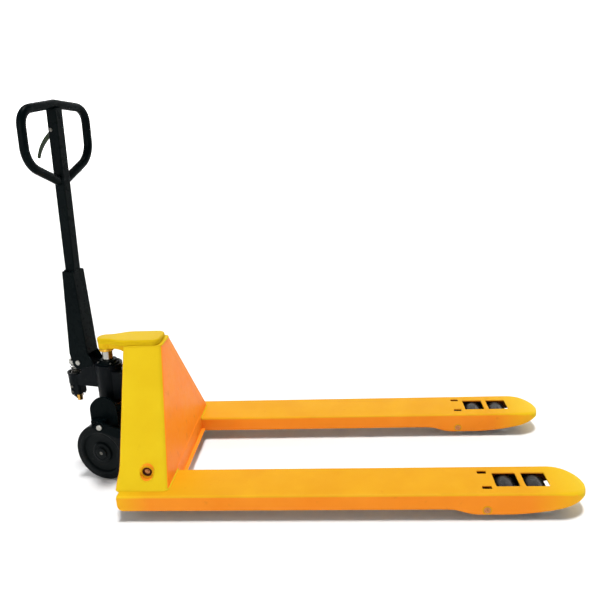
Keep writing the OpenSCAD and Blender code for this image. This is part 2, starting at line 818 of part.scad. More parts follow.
// Rod inside the tube from the trigger to the chain
module release_rod() {
    color("silver") leaning() cylinder(d = rod_d, h = trigger_z - hinge_z - 12);
}

left_fork();
right_fork();
left_fork_tip();
right_fork_tip();
left_side_plate();
right_side_plate();
front_apron();
head_cap();
cross_shaft();
shaft_sockets();
ram();
thrust_disc();
carrier();
thrust_ring();
rocker_arm();
rocker_pins();
left_push_rod();
right_push_rod();
left_roller_arm();
right_roller_arm();
left_arm_pin();
right_arm_pin();
left_bogie();
right_bogie();
left_roller_axles();
right_roller_axles();
left_rear_roller_core();
left_rear_roller_tyre();
left_front_roller_core();
left_front_roller_tyre();
right_rear_roller_core();
right_rear_roller_tyre();
right_front_roller_core();
right_front_roller_tyre();
pump_body();
pump_base();
gland_nut();
valve_block();
valve_plug();
steering_axle();
axle_caps();
left_wheel_hub();
left_wheel_tyre();
left_wheel_bearings();
right_wheel_hub();
right_wheel_tyre();
right_wheel_bearings();
plunger();
plunger_spring();
valve_lever();
release_chain();
handle_bracket();
handle_tube();
handle_loop();
hinge_pin();
cam_roller();
cam_pin();
trigger();
trigger_pin();
release_rod();
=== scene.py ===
import json
import math

import bmesh
import bpy
from mathutils import Matrix, Vector, noise


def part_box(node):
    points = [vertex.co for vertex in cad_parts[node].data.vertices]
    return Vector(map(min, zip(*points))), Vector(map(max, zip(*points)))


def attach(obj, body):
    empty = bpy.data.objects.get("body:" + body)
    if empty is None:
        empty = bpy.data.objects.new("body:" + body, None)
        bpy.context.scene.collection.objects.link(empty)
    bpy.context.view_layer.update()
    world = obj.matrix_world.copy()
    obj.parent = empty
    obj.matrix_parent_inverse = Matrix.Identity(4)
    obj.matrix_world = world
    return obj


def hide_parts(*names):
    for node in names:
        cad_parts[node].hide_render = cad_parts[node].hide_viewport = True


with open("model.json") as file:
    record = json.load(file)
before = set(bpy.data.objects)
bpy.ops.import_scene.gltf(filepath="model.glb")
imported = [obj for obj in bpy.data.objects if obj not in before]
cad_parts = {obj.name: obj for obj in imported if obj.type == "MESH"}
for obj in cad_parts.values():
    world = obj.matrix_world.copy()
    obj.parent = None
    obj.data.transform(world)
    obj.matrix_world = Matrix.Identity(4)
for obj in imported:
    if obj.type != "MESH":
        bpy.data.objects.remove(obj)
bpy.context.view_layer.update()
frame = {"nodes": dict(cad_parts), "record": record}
nodes = frame["nodes"]

# Lengths below are millimetres from the fork heels: X along the forks, Z up.
HEEL_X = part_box("left_fork")[0].x  # metres
STEER_X, STEER_TURN = -105, -15  # steering axis, and how far the pump unit is turned at rest
HINGE_OUT, HINGE_Z, HANDLE_LEAN = 100, 391, 1.7
FORK_Y = 262.5  # middle of a fork
FORK_HALF, FORK_TOP, FORK_ROOF = 80, 85, 79
HEAD_Z = 462  # top of the folded frame
SHAFT = (80, 0, 131)
SOCKET_RADIUS = 23  # openings of the cross shaft in the side plates
ARM_PIN = (1103, 0, 32)
PIVOT_PIN = (-110, 0, 215)
LEVER_PIN = (59.513, 0, 57.229)
CAM_PIN = (-31, 0, 6)
TRIGGER_PIN = (-6, 0, 769)
ROLLERS = (("rear", 1171.75), ("front", 1258.25))
WHEEL_Y, WHEEL_Z = 77.5, 100
ROLLER_Z = 40
CAM_RADIUS = 12
HOUSING_X = -137  # plunger's housing
RIPPLE = 3.0  # step of a weld bead
CUT_SHARP = 42  # degrees: after a cut, edges sharper than this stay sharp
SIDES = ((1, "left"), (-1, "right"))

HEEL = Matrix.Translation((HEEL_X, 0, 0)) @ Matrix.Scale(0.001, 4)
AXIS = HEEL @ Matrix.Translation((STEER_X, 0, 0))
STEER = AXIS @ Matrix.Rotation(math.radians(STEER_TURN), 4, "Z")
HINGE = STEER @ Matrix.Translation((-HINGE_OUT, 0, HINGE_Z))
LEAN = HINGE @ Matrix.Rotation(math.radians(HANDLE_LEAN), 4, "Y")


# ---- materials ----

# painted highlight: the spans over which the fork paint fades to its lighter ends colour, at the
# noses and at the heels
TIP_HIGHLIGHT = (0.66, 0.83)  # metres along the row frame's X
HEEL_HIGHLIGHT = (-0.47, -0.57)


def linear(colour):
    """Linear colour with alpha, from 0 to 255 in sRGB."""
    return tuple(v / 255 / 12.92 if v <= 10 else ((v / 255 + 0.055) / 1.055) ** 2.4
                 for v in colour) + (1,)


def surface(name, colour, second, rough, metal=0.0, spread=0.06, grain=(900, 0.05), blotch=9.0,
            specular=0.5, pits=None, brushed=None, grime=None, ends=None):
    """A procedural finish: two colours in blotches, uneven roughness, a fine relief and specks.

    grain is the scale and strength of the relief, and pits the same for pitting. brushed stretches
    the relief. grime is a colour, a scale, a threshold and an amount. ends is a lighter colour
    painted towards both ends of the forks: a painted highlight where the noses and heels catch
    more light.
    """
    m = bpy.data.materials.new(name)
    m.use_nodes = True
    t = m.node_tree
    n, l = t.nodes, t.links
    bsdf = n["Principled BSDF"]
    coord = n.new("ShaderNodeTexCoord")
    place = n.new("ShaderNodeMapping")
    l.new(coord.outputs["Object"], place.inputs["Vector"])
    if brushed:
        place.inputs["Scale"].default_value = brushed

    def noise_at(scale, detail, source):
        x = n.new("ShaderNodeTexNoise")
        x.inputs["Scale"].default_value = scale
        x.inputs["Detail"].default_value = detail
        l.new(source, x.inputs["Vector"])
        return x.outputs["Fac"]

    def ranged(value, a, b, lo, hi):
        x = n.new("ShaderNodeMapRange")
        for k, v in zip(("From Min", "From Max", "To Min", "To Max"), (a, b, lo, hi)):
            x.inputs[k].default_value = v
        l.new(value, x.inputs["Value"])
        return x.outputs["Result"]

    def mixed(fac, a, b):
        x = n.new("ShaderNodeMix")
        x.data_type = "RGBA"
        for socket, v in ((x.inputs["A"], a), (x.inputs["B"], b)):
            if isinstance(v, tuple):
                socket.default_value = v
            else:
                l.new(v, socket)
        l.new(fac, x.inputs["Factor"])
        return x.outputs["Result"]

    big = noise_at(blotch, 4, coord.outputs["Object"])
    colour_out = mixed(ranged(big, 0.3, 0.7, 0, 1), linear(colour), linear(second))
    # painted highlight: a lighter colour mixed in towards the fork noses and heels
    if ends:
        split = n.new("ShaderNodeSeparateXYZ")
        l.new(coord.outputs["Object"], split.inputs["Vector"])
        most = n.new("ShaderNodeMath")
        most.operation = "MAXIMUM"
        l.new(ranged(split.outputs["X"], *TIP_HIGHLIGHT, 0, 1), most.inputs[0])
        l.new(ranged(split.outputs["X"], *HEEL_HIGHLIGHT, 0, 0.8), most.inputs[1])
        colour_out = mixed(most.outputs["Value"], colour_out, linear(ends))
    fine = noise_at(grain[0], 2, place.outputs["Vector"])
    if grime:
        speck = noise_at(grime[1], 6, coord.outputs["Object"])
        colour_out = mixed(ranged(speck, grime[2], grime[2] + 0.12, 0, grime[3]), colour_out,
                           linear(grime[0]))
    l.new(colour_out, bsdf.inputs["Base Color"])
    uneven = noise_at(blotch * 6, 5, place.outputs["Vector"])
    l.new(ranged(uneven, 0.3, 0.7, max(rough - spread, 0.03), rough + spread),
          bsdf.inputs["Roughness"])
    bump = n.new("ShaderNodeBump")
    bump.inputs["Distance"].default_value = 0.0006
    bump.inputs["Strength"].default_value = grain[1]
    l.new(fine, bump.inputs["Height"])
    if pits:
        deep = n.new("ShaderNodeTexVoronoi")
        deep.inputs["Scale"].default_value = pits[0]
        l.new(coord.outputs["Object"], deep.inputs["Vector"])
        second_bump = n.new("ShaderNodeBump")
        second_bump.inputs["Distance"].default_value = 0.0015
        second_bump.inputs["Strength"].default_value = pits[1]
        l.new(deep.outputs["Distance"], second_bump.inputs["Height"])
        l.new(bump.outputs["Normal"], second_bump.inputs["Normal"])
        bump = second_bump
    l.new(bump.outputs["Normal"], bsdf.inputs["Normal"])
    bsdf.inputs["Metallic"].default_value = metal
    bsdf.inputs["Specular IOR Level"].default_value = specular
    return m


# the fork paint; its ends colour is a painted highlight at the noses and heels
ORANGE = surface("orange_powder", (216, 156, 24), (211, 147, 20), 0.38, grain=(1100, 0.12),
                 specular=0.02, ends=(220, 182, 24), grime=((196, 116, 24), 45, 0.66, 0.3))
# painted shade: a deeper orange copy for the apron and its lip, which face away from the light
DEEP_SHADE = surface("orange_powder_front_painted_shade", (255, 149, 38), (254, 141, 32), 0.40, grain=(1100, 0.12),
               specular=0.05, grime=((206, 108, 28), 30, 0.62, 0.3))
YELLOW = surface("yellow_powder", (218, 186, 31), (213, 178, 27), 0.36, grain=(1100, 0.12),
                 specular=0.015, grime=((186, 140, 20), 45, 0.66, 0.3))
# painted shade: a darker copy of the yellow for the head plate, to dim its lit top
CROWN_SHADE = surface("yellow_powder_top_painted_shade", (208, 174, 20), (203, 167, 16), 0.36, grain=(1100, 0.12),
                specular=0.015, grime=((180, 134, 20), 45, 0.66, 0.3))
# painted shade: a darker orange copy of the fork paint for the fork sides and the socket liners
SIDE_SHADE = surface("orange_powder_side_painted_shade", (238, 142, 38), (234, 134, 32), 0.38, grain=(1100, 0.12),
               specular=0.05, ends=(232, 176, 28), grime=((186, 104, 24), 45, 0.66, 0.3))
# painted highlight: a lighter copy of the fork paint for the rounded bends between top and sides
BEND_HIGHLIGHT = surface("orange_powder_bend_painted_highlight", (222, 165, 28), (217, 157, 24), 0.34, grain=(1100, 0.12),
               specular=0.05, ends=(226, 188, 28))
# painted shade: dark brown with darker blotches for the inside of the fork channels, which lie in
# shade; the shaft seals use it too
UNDER = surface("dark_seal_and_painted_shade", (96, 44, 14), (58, 30, 14), 0.6, spread=0.1, grain=(500, 0.3),
                specular=0.03, blotch=14, grime=((26, 20, 16), 30, 0.5, 0.7))
ENAMEL = surface("black_enamel", (3, 9, 11), (6, 13, 14), 0.30, spread=0.08, grain=(700, 0.12),
                 specular=0.03, grime=((34, 42, 34), 60, 0.66, 0.3))
CAST = surface("black_casting", (2, 6, 10), (5, 10, 13), 0.40, spread=0.1, grain=(420, 0.4),
               pits=(330, 0.2), specular=0.06, grime=((34, 37, 34), 50, 0.64, 0.35))
RIM = surface("wheel_casting", (4, 9, 10), (7, 13, 14), 0.38, spread=0.1, grain=(420, 0.35),
              pits=(300, 0.15), specular=0.06, grime=((40, 40, 38), 70, 0.64, 0.4))
TYRE = surface("black_polyurethane", (4, 8, 9), (7, 12, 13), 0.38, spread=0.1, grain=(600, 0.2),
               specular=0.07, grime=((42, 41, 38), 80, 0.62, 0.4))
ROLLER = surface("roller_polyurethane", (9, 10, 9), (17, 17, 14), 0.30, spread=0.1,
                 grain=(500, 0.2), specular=0.16, grime=((52, 50, 44), 90, 0.64, 0.35))
ZINC = surface("zinc_plate", (176, 176, 170), (150, 148, 140), 0.30, metal=1.0, spread=0.08,
               grain=(800, 0.12), blotch=40, grime=((96, 84, 66), 120, 0.6, 0.5))
SOCKET = surface("oiled_shaft", (214, 146, 84), (184, 112, 60), 0.36, metal=0.25, spread=0.1,
                 grain=(700, 0.2), blotch=60, grime=((92, 66, 42), 150, 0.6, 0.5))
CHROME = surface("hard_chrome", (168, 166, 158), (148, 146, 138), 0.14, metal=1.0, spread=0.04,
                 grain=(300, 0.03), brushed=(1, 1, 14), blotch=30)
TURNED = surface("turned_steel", (120, 118, 112), (92, 90, 84), 0.34, metal=1.0, spread=0.08,
                 grain=(260, 0.2), brushed=(1, 8, 1), blotch=50, grime=((44, 40, 34), 90, 0.6, 0.6))
SPRING = surface("spring_wire", (92, 90, 86), (66, 64, 60), 0.32, metal=0.9, grain=(700, 0.1),
                 blotch=60)
BRASS = surface("turned_brass", (206, 158, 78), (178, 130, 58), 0.26, metal=1.0, spread=0.06,
                grain=(500, 0.1), blotch=60, grime=((104, 78, 40), 140, 0.6, 0.5))
DISC = surface("yellow_zinc", (226, 176, 40), (200, 148, 32), 0.32, metal=0.5, spread=0.08,
               grain=(600, 0.1), blotch=50, grime=((120, 88, 40), 120, 0.62, 0.5))
OLIVE = surface("olive_enamel", (38, 48, 32), (52, 62, 42), 0.36, spread=0.08, grain=(700, 0.12),
                specular=0.15, grime=((104, 106, 80), 90, 0.62, 0.35))

FINISH = {
    "yellow_paint": ORANGE, "bearing_disc": DISC, "zinc": ZINC, "ram_chrome": CHROME,
    "black_paint": ENAMEL, "black_casting": CAST, "wheel_casting": RIM, "wheel_tyre": TYRE,
    "roller_core": TURNED, "roller_tyre": ROLLER, "spring_steel": SPRING, "brass": BRASS,
    "trigger_paint": OLIVE,
}


# ---- mesh helpers ----

def paint(obj, material):
    obj.data.materials.clear()
    obj.data.materials.append(material)


def soften(obj, width, segments=3, angle=30):
    """Rounds the edges by width in metres, and keeps flat faces flat."""
    b = obj.modifiers.new("edges", "BEVEL")
    b.width = width
    b.segments = segments
    b.limit_method = "ANGLE"
    b.angle_limit = math.radians(angle)
    b.use_clamp_overlap = True
    b.harden_normals = False
    w = obj.modifiers.new("normals", "WEIGHTED_NORMAL")
    w.weight = 50
    w.keep_sharp = True


def settle(obj):
    """Puts the modifiers' result into the mesh."""
    made = bpy.data.meshes.new_from_object(obj.evaluated_get(bpy.context.evaluated_depsgraph_get()))
    obj.modifiers.clear()
    obj.data = made


def solid(name, bm, matrix, material, body=None, stands_for=(), edge=0.0, segments=3,
          sharp=35):
    """A mesh object from bm, moved by matrix into the row frame.

    With a body it is a piece of the object.
    """
    bmesh.ops.remove_doubles(bm, verts=bm.verts, dist=1e-4)
    bmesh.ops.recalc_face_normals(bm, faces=bm.faces)
    me = bpy.data.meshes.new(name)
    bm.to_mesh(me)
    bm.free()
    me.transform(matrix)
    me.shade_smooth()
    obj = bpy.data.objects.new(name, me)
    bpy.context.scene.collection.objects.link(obj)
    paint(obj, material)
    if edge:
        soften(obj, edge, segments)
    else:
        me.set_sharp_from_angle(angle=math.radians(sharp))
    if body:
        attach(obj, body)
    if stands_for:
        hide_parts(*stands_for)
    return obj


def cut(obj, *cutters):
    bpy.context.view_layer.update()
    for c in cutters:
        m = obj.modifiers.new("cut", "BOOLEAN")
        m.operation = "DIFFERENCE"
        m.solver = "EXACT"
        m.object = c
    settle(obj)
    for c in cutters:
        bpy.data.objects.remove(c)
    obj.data.shade_smooth()
    obj.data.set_sharp_from_angle(angle=math.radians(CUT_SHARP))


def stand(obj, body, nodes_replaced=(), edge=0.0, segments=2):
    """Makes a cut mesh a piece of the object."""
    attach(obj, body)
    if nodes_replaced:
        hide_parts(*nodes_replaced)
    if edge:
        soften(obj, edge, segments, 50)


def second_finish(obj, material, chosen):
    """Gives the faces that chosen picks another material: a painted shade or painted highlight copy
    of the paint.
    """
    obj.data.materials.append(material)
    index = len(obj.data.materials) - 1
    for face in obj.data.polygons:
        if chosen(face):
            face.material_index = index


def prism(bm, outline, axis, a, b):
    """A closed outline drawn across the other two axes, from a to b along axis."""
    def at(p, v):
        return {"x": (v, p[0], p[1]), "y": (p[0], v, p[1]), "z": (p[0], p[1], v)}[axis]
    low = [bm.verts.new(at(p, a)) for p in outline]
    high = [bm.verts.new(at(p, b)) for p in outline]
    bm.faces.new(low)
    bm.faces.new(high[::-1])
    for i in range(len(outline)):
        j = (i + 1) % len(outline)
        bm.faces.new((low[i], low[j], high[j], high[i]))


def block(bm, lo, hi):
    prism(bm, [(lo[0], lo[1]), (hi[0], lo[1]), (hi[0], hi[1]), (lo[0], hi[1])], "z", lo[2], hi[2])


def lathe(bm, profile, centre, axis="y", sides=64):
    """Turns (height, radius) points about an axis through centre. The profile is closed."""
    c = Vector(centre)
    along, u, v = {"x": ((1, 0, 0), (0, 1, 0), (0, 0, 1)), "y": ((0, 1, 0), (0, 0, 1), (1, 0, 0)),
                   "z": ((0, 0, 1), (1, 0, 0), (0, 1, 0))}[axis]
    along, u, v = Vector(along), Vector(u), Vector(v)
    rings = []
    for h, r in profile:
        if r < 1e-6:
            rings.append([bm.verts.new(c + along * h)])
        else:
            rings.append([bm.verts.new(c + along * h + (u * math.cos(g) + v * math.sin(g)) * r)
                          for g in (2 * math.pi * k / sides for k in range(sides))])
    for i in range(len(rings)):
        p, q = rings[i], rings[(i + 1) % len(rings)]
        if len(p) == 1 and len(q) == 1:
            continue
        for k in range(sides):
            m = (k + 1) % sides
            face = [p[k], p[m], q[m], q[k]] if len(p) > 1 and len(q) > 1 else (
                [p[0], q[m], q[k]] if len(p) == 1 else [p[k], p[m], q[0]])
            bm.faces.new(face)


def bar(bm, centre, axis, radius, a, b, edge=1.0, sides=48):
    """A round bar with eased ends, from a to b along axis."""
    lathe(bm, [(a, 0), (a, radius - edge), (a + edge * 0.3, radius - edge * 0.3),
               (a + edge, radius), (b - edge, radius), (b - edge * 0.3, radius - edge * 0.3),
               (b, radius - edge), (b, 0)],
          centre, axis, sides)


def hexagon(bm, centre, axis, across, a, b):
    r = across / math.sqrt(3)
    pts = [(r * math.cos(math.radians(60 * k + 15)), r * math.sin(math.radians(60 * k + 15)))
           for k in range(6)]
    c = Vector(centre)
    start = len(bm.verts)
    prism(bm, pts, axis, a, b)
    bm.verts.ensure_lookup_table()
    for vert in bm.verts[start:]:
        vert.co += c


def sweep(bm, points, radius, sides=12, closed=False):
    """A round bar along points. radius is a number or one for each point."""
    pts = [Vector(p) for p in points]
    n = len(pts)
    radii = radius if isinstance(radius, list) else [radius] * n
    side = None
    rings = []
    for i, p in enumerate(pts):
        before = pts[i - 1] if i or closed else p
        after = pts[(i + 1) % n] if i < n - 1 or closed else p
        way = (after - before).normalized()
        if side is None:
            side = way.orthogonal().normalized()
        side = (side - way * side.dot(way)).normalized()
        up = way.cross(side)
        rings.append([bm.verts.new(p + (side * math.cos(g) + up * math.sin(g)) * radii[i])
                      for g in (2 * math.pi * k / sides for k in range(sides))])
    for i in range(n if closed else n - 1):
        p, q = rings[i], rings[(i + 1) % n]
        turn = 0
        if closed and i == n - 1:
            turn = min(range(sides), key=lambda s: sum((p[k].co - q[(k + s) % sides].co).length
                                                       for k in range(sides)))
        for k in range(sides):
            m = (k + 1) % sides
            bm.faces.new((p[k], p[m], q[(m + turn) % sides], q[(k + turn) % sides]))
    if not closed:
        bm.faces.new(rings[0][::-1])
        bm.faces.new(rings[-1])


def cubic(p, n):
    """Points of the curve with the four control points p, in n steps."""
    a, b, c, d = (Vector(x) for x in p)
    return [a * (1 - t) ** 3 + b * 3 * t * (1 - t) ** 2 + c * 3 * t * t * (1 - t) + d * t ** 3
            for t in (i / n for i in range(n + 1))]


def arc(cx, cy, r, a, b, n):
    """Points of an arc from a to b degrees, in n steps."""
    return [(cx + r * math.cos(math.radians(a + (b - a) * i / n)),
             cy + r * math.sin(math.radians(a + (b - a) * i / n)))
            for i in range(n + 1)]


def interpolated(line, x):
    """Height of a line of (x, z) points at x."""
    for (x0, z0), (x1, z1) in zip(line, line[1:]):
        if x <= x1:
            return z0 + (z1 - z0) * (x - x0) / max(x1 - x0, 1e-6)
    return line[-1][1]


def rounded(x0, x1, y0, y1, r, n=4):
    return (arc(x1 - r, y1 - r, r, 0, 90, n) + arc(x0 + r, y1 - r, r, 90, 180, n)
            + arc(x0 + r, y0 + r, r, 180, 270, n) + arc(x1 - r, y0 + r, r, 270, 360, n))


def bead(bm, points, radius):
    """A weld bead along points: a round bar with ripples."""
    line = []
    for p, q in zip(points, points[1:]):
        p, q = Vector(p), Vector(q)
        count = max(1, round((q - p).length / RIPPLE))
        line += [p.lerp(q, i / count) for i in range(count)]
    line.append(Vector(points[-1]))
    radii = [radius * (1 + 0.10 * math.sin(i * 2.4) + 0.22 * noise.noise(p * 0.05))
             for i, p in enumerate(line)]
    sweep(bm, line, radii, 8)


# ---- CAD nodes that are shown as they are ----

SLOT_OF = {p["node"]: p["material_slot"] for p in frame["record"]["subparts"]}
for name in nodes:
    obj = nodes[name]
    paint(obj, FINISH[SLOT_OF[name]])
    weld = obj.modifiers.new("join", "WELD")
    weld.merge_threshold = 2e-5
    soften(obj, 0.0006, 2, 28)


# ---- forks ----

# (x, z) lines of a fork's lower edge and of its top, from the heel to the nose
LOW = [tuple(p) for p in (
    cubic([(-4, 54), (-3, 44), (2, 36), (12, 35)], 6)
    + cubic([(985, 35), (1035, 35), (1035, 17), (1090, 17)], 14)
    + cubic([(1165, 17), (1260, 19), (1310, 34), (1382, 50)], 14))] + [(1402, 52)]
TOP = [(-4, 83.5), (-2.5, 85), (1304, 85)]
TOP += [tuple(p) for p in cubic([(1304, 85), (1350, 85), (1378, 79), (1402, 69)], 10)][1:]
# sections of a fork: places along its straight part, then degrees round its nose
STRAIGHT = (-4, -3.4, -2.5, -1, 1, 4, 8, 12, 60, 300, 600, 985, 1000, 1010, 1018, 1025, 1032, 1040,
            1048, 1060, 1075, 1090, 1165, 1185, 1205, 1225, 1245, 1262, 1276, 1290)
NOSE_STEPS = (0, 8, 16, 24, 31, 38, 45, 51, 57, 62, 67, 71.5, 75.5, 79, 82, 85, 87.5)


def fork_ring(x, half, corner, foot):
    """Points round a fork's outer section at x, from its lower left."""
    top, low = interpolated(TOP, x), interpolated(LOW, x)
    r = min(corner, half * 0.8, (top - low) * 0.5)
    f = min(foot, half * 0.15 + 0.2, (top - low) * 0.3)
    ring = (arc(-half + f, low + f, f, 270, 180, 3) + arc(-half + r, top - r, r, 180, 90, 6)
            + arc(half - r, top - r, r, 90, 0, 6) + arc(half - f, low + f, f, 0, -90, 3))
    return [(x, y, z) for y, z in ring]


def inside_fork(face, place):
    """True for the faces of the channel that opens below."""
    x, y, z = face.center - place.translation
    n = face.normal
    inward = n.y * y + n.x * (x - 1.2) < -0.005
    roof = n.z < -0.5 and z > 0.072
    return z < 0.0795 and abs(y) < 0.0775 and (x < 1.2885 or inward or roof)


def fork_shell(side, word):
    """A whole fork as one shell, open below, with its windows and the arm pin's ends."""
    stations = [(x, FORK_HALF, 8, 0.8) for x in STRAIGHT]
    for degrees in NOSE_STEPS:
        across, along = math.cos(math.radians(degrees)), math.sin(math.radians(degrees))
        stations.append((1314 + 88 * along ** 0.92, FORK_HALF * across ** 0.84, 8 + 7 * along,
                         0.8 + 9 * along))
    bm = bmesh.new()
    rings = [[bm.verts.new(p) for p in fork_ring(*s)] for s in stations]
    for p, q in zip(rings, rings[1:]):
        for k in range(len(p)):
            m = (k + 1) % len(p)
            bm.faces.new((p[k], p[m], q[m], q[k]))
    bm.faces.new(rings[0][::-1])
    bm.faces.new(rings[-1])
    place = HEEL @ Matrix.Translation((0, side * FORK_Y, 0))
    shell = solid(word + "_fork_shell", bm, place, ORANGE)
    bm = bmesh.new()
    prism(bm, [(-76, -20)] + arc(-72, 77, 4, 180, 90, 4) + arc(72, 77, 4, 90, 0, 4) + [(76, -20)],
          "x", 2, 1302)
    hollow = solid("cutter", bm, place, ORANGE)
    bm = bmesh.new()
    half = [(1290, 75), (1318, 74), (1334, 68), (1346, 58), (1352, 44)]
    prism(bm, [(x, -y) for x, y in half] + half[::-1], "z", -20, 74)
    nose = solid("cutter", bm, place, ORANGE)
    bm = bmesh.new()
    for _, x in ROLLERS:
        prism(bm, rounded(x - 35, x + 35, -38, 38, 3.5), "z", FORK_ROOF, 95)
    for k in (-1, 1):
        prism(bm, rounded(1094, 1122, k * 42.8 - 8, k * 42.8 + 8, 2.5), "z", FORK_ROOF, 95)
    windows = solid("cutter", bm, place, ORANGE)
    bm = bmesh.new()
    y = side * (240 - FORK_Y)
    block(bm, (15, y - 24, FORK_ROOF), (135, y + 24, 95))
    bar(bm, ARM_PIN, "y", 10.2, -100, 100)
    cut(shell, hollow, nose, windows, solid("cutter", bm, place, ORANGE))
    # painted shade on the faces that look across the forks
    second_finish(shell, SIDE_SHADE, lambda f: abs(f.normal.y) > 0.8)
    # painted highlight on the bends between the top and the sides
    second_finish(shell, BEND_HIGHLIGHT, lambda f: 0.35 < f.normal.z < 0.94 and abs(f.normal.y) > 0.3)
    # painted shade on the inside of the channel, which opens below
    second_finish(shell, UNDER, lambda f: inside_fork(f, place))
    stand(shell, "chassis", [word + "_fork", word + "_fork_tip"], 0.0007)
    # bosses round the arm pin, and the pin's own ends
    bm = bmesh.new()
    for k in (-1, 1):
        lathe(bm, [(79.0 * k, 10.4), (79.0 * k, 14.5), (80.6 * k, 14.2), (81.4 * k, 13.2),
                   (81.5 * k, 11.2), (80.8 * k, 10.4)], ARM_PIN, "y", 48)
    solid(word + "_pin_boss", bm, place, ORANGE, "chassis")
    bm = bmesh.new()
    lathe(bm, [(-82, 0), (-81.2, 2.6), (-80.2, 3.4), (-80.2, 6.4), (-81.6, 7.2), (-82, 8.2),
               (-81.4, 9.6), (-80, 10), (80, 10), (81.4, 9.6), (82, 8.2), (81.6, 7.2), (80.2, 6.4),
               (80.2, 3.4), (81.2, 2.6), (82, 0)],
          ARM_PIN, "y", 48)
    solid(word + "_pin_turned", bm, place, SOCKET, "chassis", [word + "_arm_pin"])


for side, word in SIDES:
    fork_shell(side, word)


# ---- folded frame: side plates and apron ----

FOOT_Y, CROWN_Y = 312, 54  # outer faces of the side plates, at the forks and at the head
PLATE = 5.5
REAR = ((85, -16.5), (97, -16), (110, -14.4), (122, -12), (134.5, -10), (150, -10), (HEAD_Z, -30))
FRAME_HEIGHTS = (FORK_TOP, 92, 100, 110, 122, 134.5, 150, 190, 240, 290, 340, 390, 430, HEAD_Z)


def rise(z):
    """0 at the forks' top, 1 at the head."""
    return (z - FORK_TOP) / (HEAD_Z - FORK_TOP)


def plate_y(z):
    """Outer face of a side plate at height z."""
    return FOOT_Y - (FOOT_Y - CROWN_Y) * rise(z)


def frame_ring(z):
    """Closed section of the folded frame at height z: its outer line, then its inner line back."""
    y, xr, xf = plate_y(z), interpolated(REAR, z), 149 - 50 * rise(z)

    def line(inset):
        r1, r2 = 9 - inset, 15 - inset
        half = ([(xr + inset, y - 25)] + arc(xr + 9, y - 9, r1, 180, 90, 5)
                + arc(xf - 15, y - 15, r2, 90, 0, 8))
        return half + [(a, -b) for a, b in half[::-1]]
    return [(a, b, z) for a, b in line(0) + line(PLATE)[::-1]]


bm = bmesh.new()
rings = [[bm.verts.new(p) for p in frame_ring(z)] for z in FRAME_HEIGHTS]
for p, q in zip(rings, rings[1:]):
    for k in range(len(p)):
        m = (k + 1) % len(p)
        bm.faces.new((p[k], p[m], q[m], q[k]))
for ring in (rings[0], rings[-1]):
    half = len(ring) // 2
    for k in range(half - 1):
        bm.faces.new((ring[k], ring[k + 1], ring[-2 - k], ring[-1 - k]))
folded = solid("folded_frame", bm, HEEL, YELLOW)
bm = bmesh.new()
bar(bm, SHAFT, "y", SOCKET_RADIUS, -400, 400)
cut(folded, solid("cutter", bm, HEEL, YELLOW))
# painted shade: the faces that look along the forks, the apron, get the deeper orange
second_finish(folded, DEEP_SHADE, lambda f: abs(f.normal.x) > 0.75)
stand(folded, "chassis", ["left_side_plate", "right_side_plate", "front_apron"],
      0.0009)

# lip of the apron, turned down between the forks, in the deep orange of painted shade
bm = bmesh.new()
prism(bm, [(143.5, 92), (143.5, 44)] + arc(149, 44.5, 5.5, 180, 270, 4) + [(160, 39.2)]
      + arc(160, 41.8, 2.6, 270, 450, 5)
      + arc(154, 48.4, 4, 270, 180, 4) + [(150, 84), (148.2, 98), (143, 98)], "y", -181.5, 181.5)
solid("apron_lip", bm, HEEL, DEEP_SHADE, "chassis", edge=0.0008, segments=2)

# sockets of the cross shaft, and the shaft with turned ends
bm = bmesh.new()
for k in (-1, 1):
    lathe(bm, [(k * 255, 15.3), (k * 255, 22.6), (k * 277, 22.6), (k * 279.4, 21.9),
               (k * 280, 20.4), (k * 280, 17.6), (k * 279.2, 16.2), (k * 277.5, 15.3)],
          SHAFT, "y", 64)
solid("shaft_collars", bm, HEEL, ORANGE, "chassis", ["shaft_sockets"])
for k, word in SIDES:
    bm = bmesh.new()
    lathe(bm, [(k * 262, 21.6), (k * 262, 23.3), (k * 300, 23.3), (k * 300, 21.6)], SHAFT, "y", 64)
    # the liner inside each socket gets the darker side orange as painted shade
    liner = solid(word + "_socket_liner", bm, HEEL, SIDE_SHADE)
    bm = bmesh.new()
    prism(bm, [(k * 279, 170), (k * 279, 132.6), (k * 296.4, 107.2), (k * 304, 96), (k * 330, 96),
               (k * 330, 170)],
          "x", 40, 120)
    cut(liner, solid("cutter", bm, HEEL, YELLOW))
    stand(liner, "chassis")
bm = bmesh.new()
lathe(bm, [(-276, 0), (-276, 3), (-273.5, 5), (-273.5, 9), (-275.6, 10.6), (-276.4, 12.4),
           (-275.6, 14.4), (-274, 15), (274, 15), (275.6, 14.4), (276.4, 12.4), (275.6, 10.6),
           (273.5, 9), (273.5, 5), (276, 3), (276, 0)],
      SHAFT, "y", 64)
solid("shaft_turned", bm, HEEL, SOCKET, "chassis", ["cross_shaft"])

# dark seals round the shaft's ends
bm = bmesh.new()
for k in (-1, 1):
    lathe(bm, [(k * 274.5, 8.4), (k * 276.9, 8.8), (k * 277.1, 10), (k * 277.1, 13.6),
               (k * 276.6, 14.9), (k * 274.5, 15)],
          SHAFT, "y", 48)
solid("shaft_seals", bm, HEEL, UNDER, "chassis", sharp=50)

